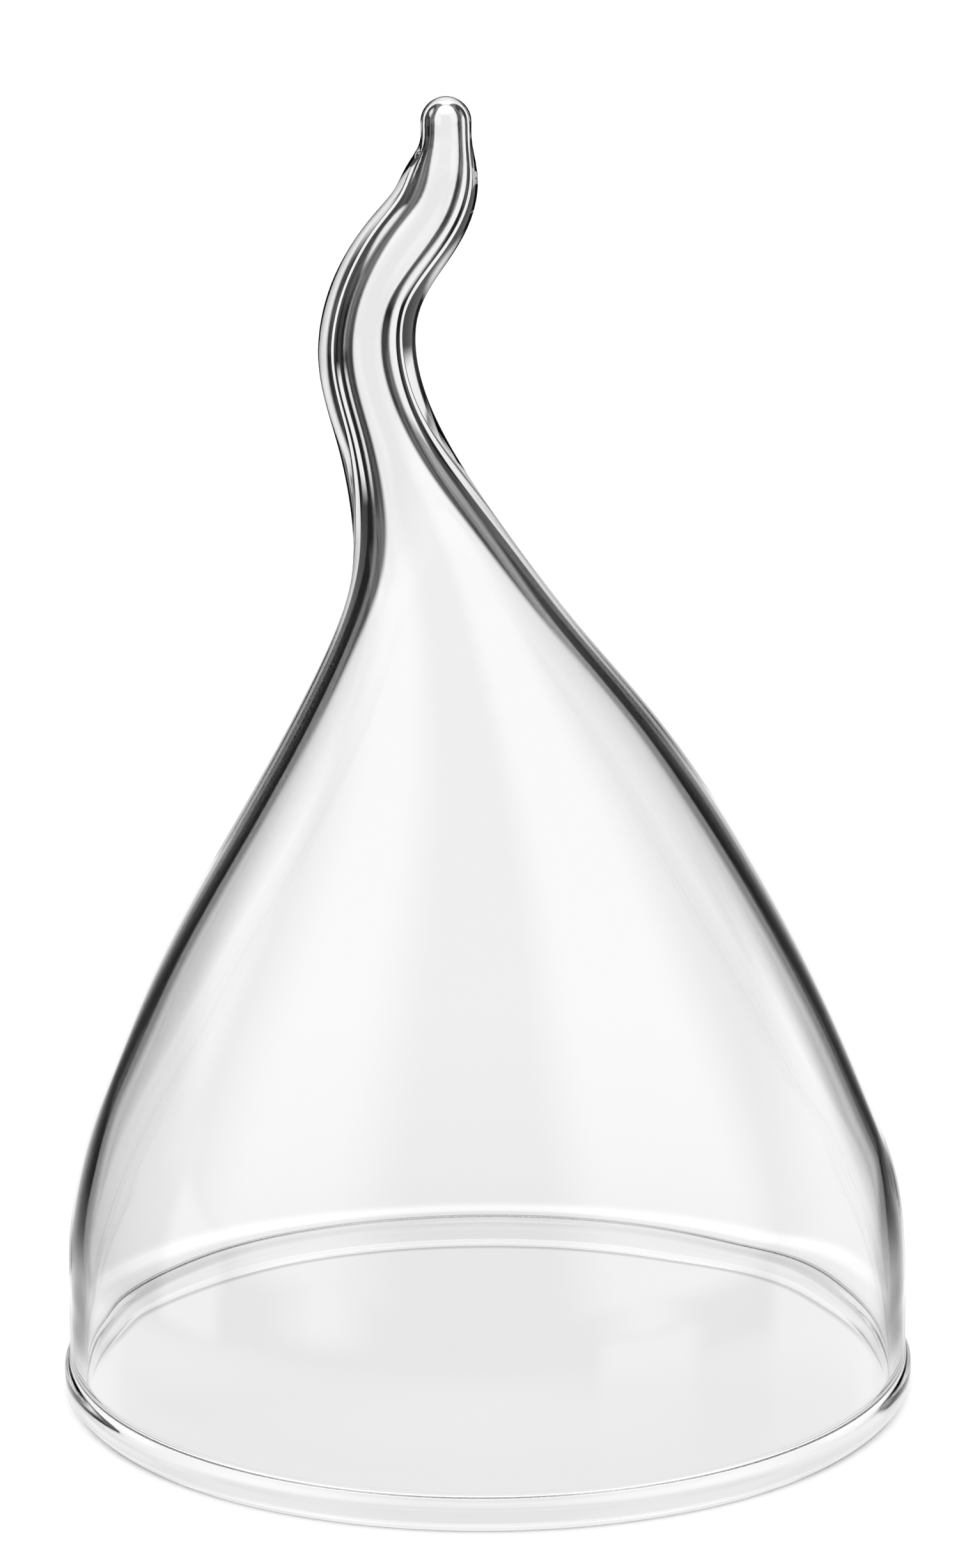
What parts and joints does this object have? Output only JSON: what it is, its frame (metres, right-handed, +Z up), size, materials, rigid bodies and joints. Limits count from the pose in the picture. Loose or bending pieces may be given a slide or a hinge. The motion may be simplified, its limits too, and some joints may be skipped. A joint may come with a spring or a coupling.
{
  "type": "glass serving bell",
  "caption": "Clear glass bell with an open foot, an ogee shoulder and a thick S-bent neck, closed by a round tip, that serves as the handle.",
  "frame": {"origin": "centre of the rim's underside, on the surface that the bell stands on", "axes": "+Z up the bell's axis; the neck bends in the XZ plane, first towards -X and then back towards +X; Y is square to that plane"},
  "size_m": [0.1419, 0.1418, 0.2236],
  "materials": {
    "clear_glass": "clear, fire polished"
  },
  "bodies": {
    "root": {"rim_bead": "clear_glass", "bell_skirt": "clear_glass", "bell_shoulder": "clear_glass", "drawn_cone": "clear_glass", "s_bend_neck": "clear_glass", "sealed_tip": "clear_glass"}
  },
  "joints": []
}
